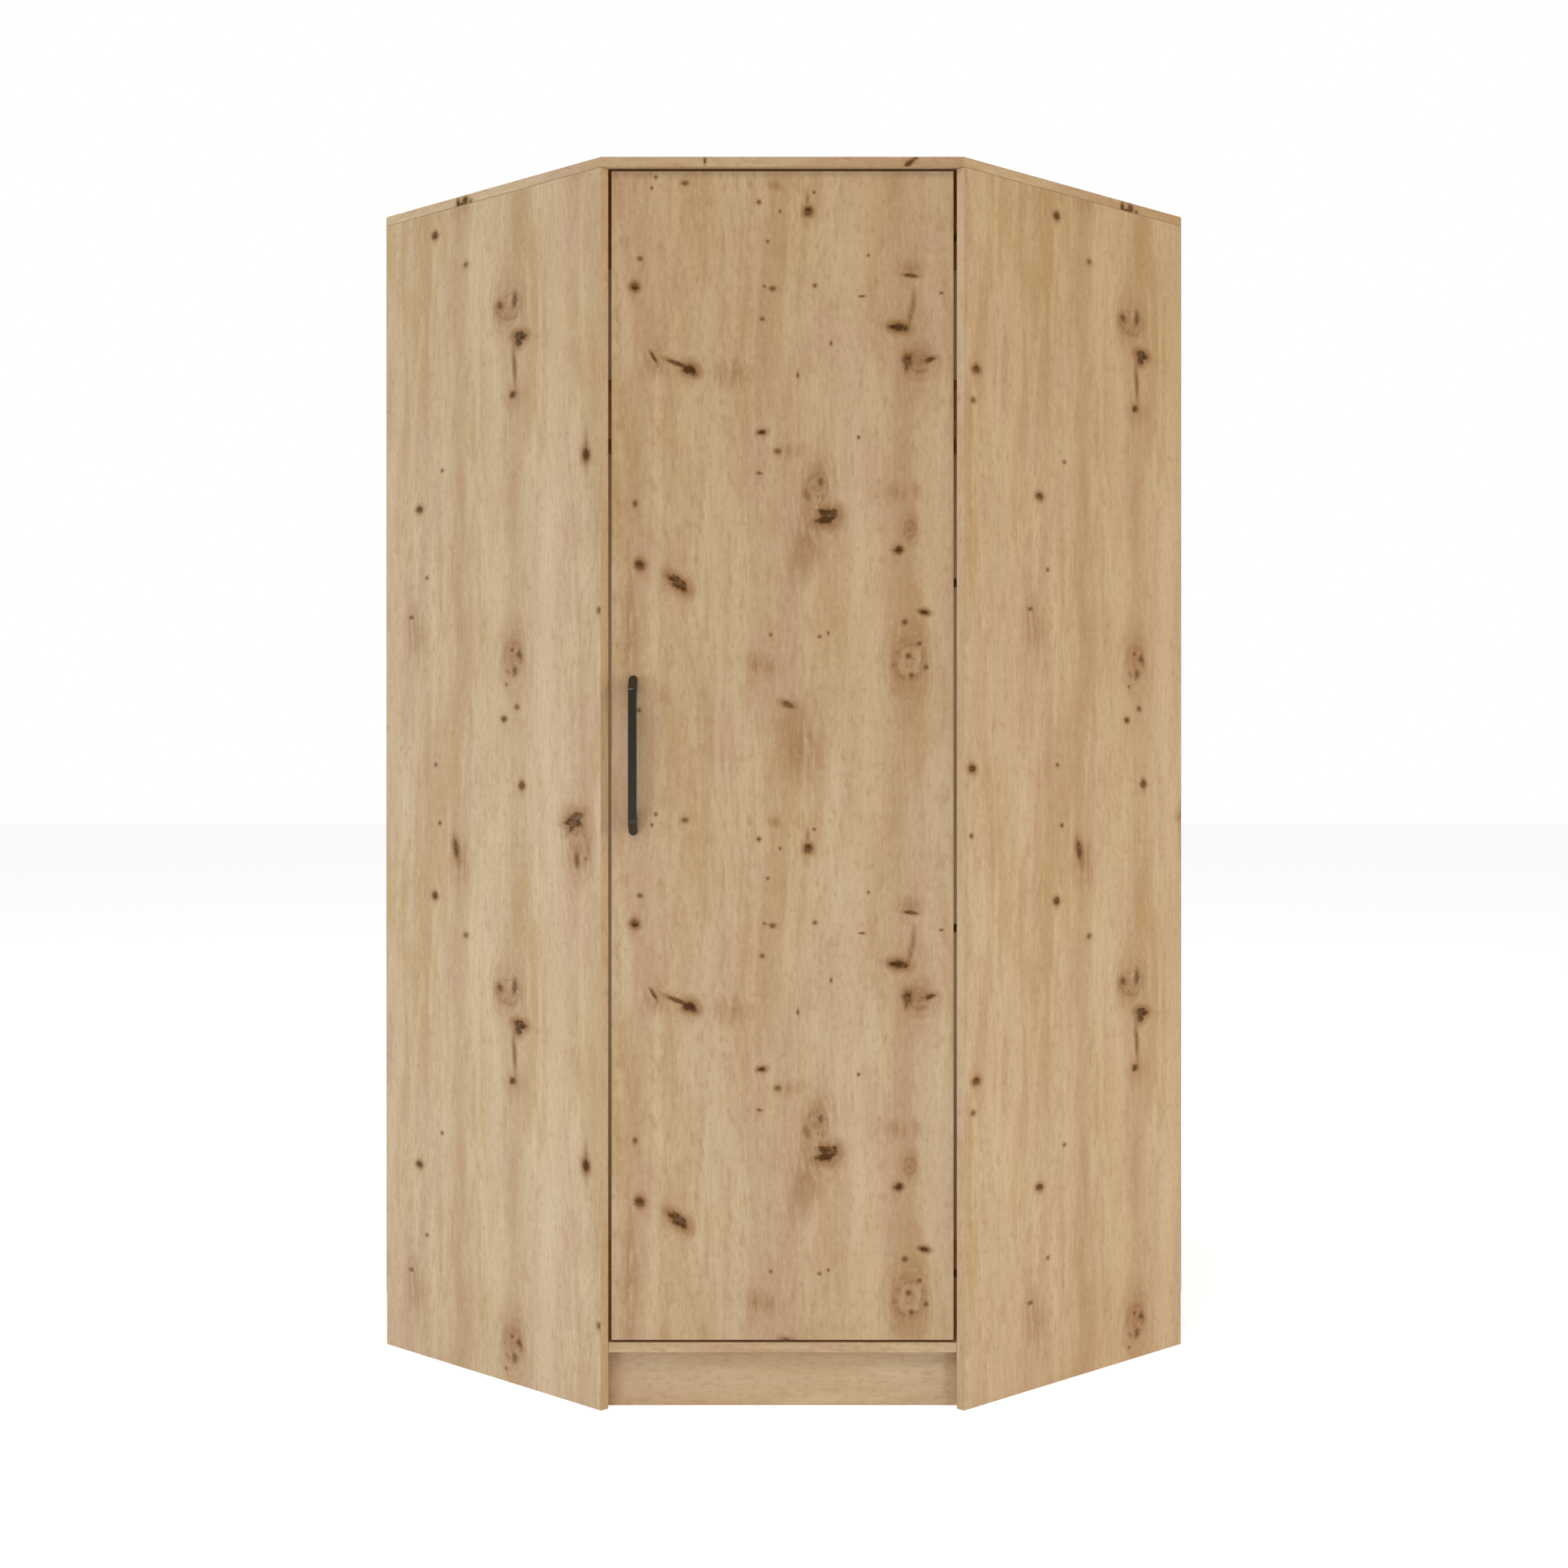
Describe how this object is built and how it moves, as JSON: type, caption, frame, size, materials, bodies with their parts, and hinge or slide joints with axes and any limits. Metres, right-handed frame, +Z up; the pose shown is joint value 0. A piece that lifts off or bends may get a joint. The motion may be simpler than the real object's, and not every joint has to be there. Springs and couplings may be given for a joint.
{
  "type": "corner wardrobe",
  "caption": "Corner wardrobe of laminated oak-look board: two side panels at right angles, a door across the corner between them, a hat shelf and a clothes rail inside.",
  "frame": {"origin": "on the floor, at the middle of the wardrobe's width and depth", "axes": "+Z up, -Y towards the person who opens the door, +Y towards the room corner, +X to the right seen from the front"},
  "size_m": [1.4114, 1.141, 2],
  "materials": {
    "oak_board": "satin laminate with a knotty oak grain",
    "hardboard": "matt brown hardboard",
    "white_plastic": "smooth",
    "black_coat": "satin black powder coat",
    "chrome": "polished plating",
    "zinc": "bare die cast",
    "nickel_steel": "nickel plated"
  },
  "bodies": {
    "carcass": {"bottom_panel": "oak_board", "clothes_rail": "chrome", "hat_shelf": "oak_board", "hinge_arm_1": "nickel_steel", "hinge_arm_2": "nickel_steel", "hinge_arm_3": "nickel_steel", "hinge_arm_4": "nickel_steel", "hinge_plate_1": "nickel_steel", "hinge_plate_2": "nickel_steel", "hinge_plate_3": "nickel_steel", "hinge_plate_4": "nickel_steel", "left_back_inner_sheet": "hardboard", "left_back_joint_strip": "white_plastic", "left_back_outer_sheet": "hardboard", "left_bottom_cam_1": "zinc", "left_bottom_cam_2": "zinc", "left_plinth_bracket": "nickel_steel", "left_post_shelf_pin": "nickel_steel", "left_rail_end_cap": "white_plastic", "left_rail_hanger": "chrome", "left_rear_post": "oak_board", "left_shelf_pin_1": "nickel_steel", "left_shelf_pin_2": "nickel_steel", "left_side_panel": "oak_board", "left_top_cam_1": "zinc", "left_top_cam_2": "zinc", "left_wall_bracket": "nickel_steel", "plinth": "oak_board", "right_back_inner_sheet": "hardboard", "right_back_joint_strip": "white_plastic", "right_back_outer_sheet": "hardboard", "right_bottom_cam_1": "zinc", "right_bottom_cam_2": "zinc", "right_plinth_bracket": "nickel_steel", "right_post_shelf_pin": "nickel_steel", "right_rail_end_cap": "white_plastic", "right_rail_hanger": "chrome", "right_rear_post": "oak_board", "right_shelf_pin_1": "nickel_steel", "right_shelf_pin_2": "nickel_steel", "right_side_panel": "oak_board", "right_top_cam_1": "zinc", "right_top_cam_2": "zinc", "right_wall_bracket": "nickel_steel", "top_panel": "oak_board"},
    "door": {"door_handle": "black_coat", "door_panel": "oak_board", "handle_screw_1": "nickel_steel", "handle_screw_2": "nickel_steel", "hinge_cup_1": "nickel_steel", "hinge_cup_2": "nickel_steel", "hinge_cup_3": "nickel_steel", "hinge_cup_4": "nickel_steel", "hinge_pin_1": "nickel_steel", "hinge_pin_2": "nickel_steel", "hinge_pin_3": "nickel_steel", "hinge_pin_4": "nickel_steel"}
  },
  "joints": [
    {"name": "door_swing", "type": "hinge", "parent": "carcass", "child": "door", "pos_m": [0.2566, -0.52749, 1.045], "axis": [0, 0, 1], "range_deg": [0, 95]}
  ]
}
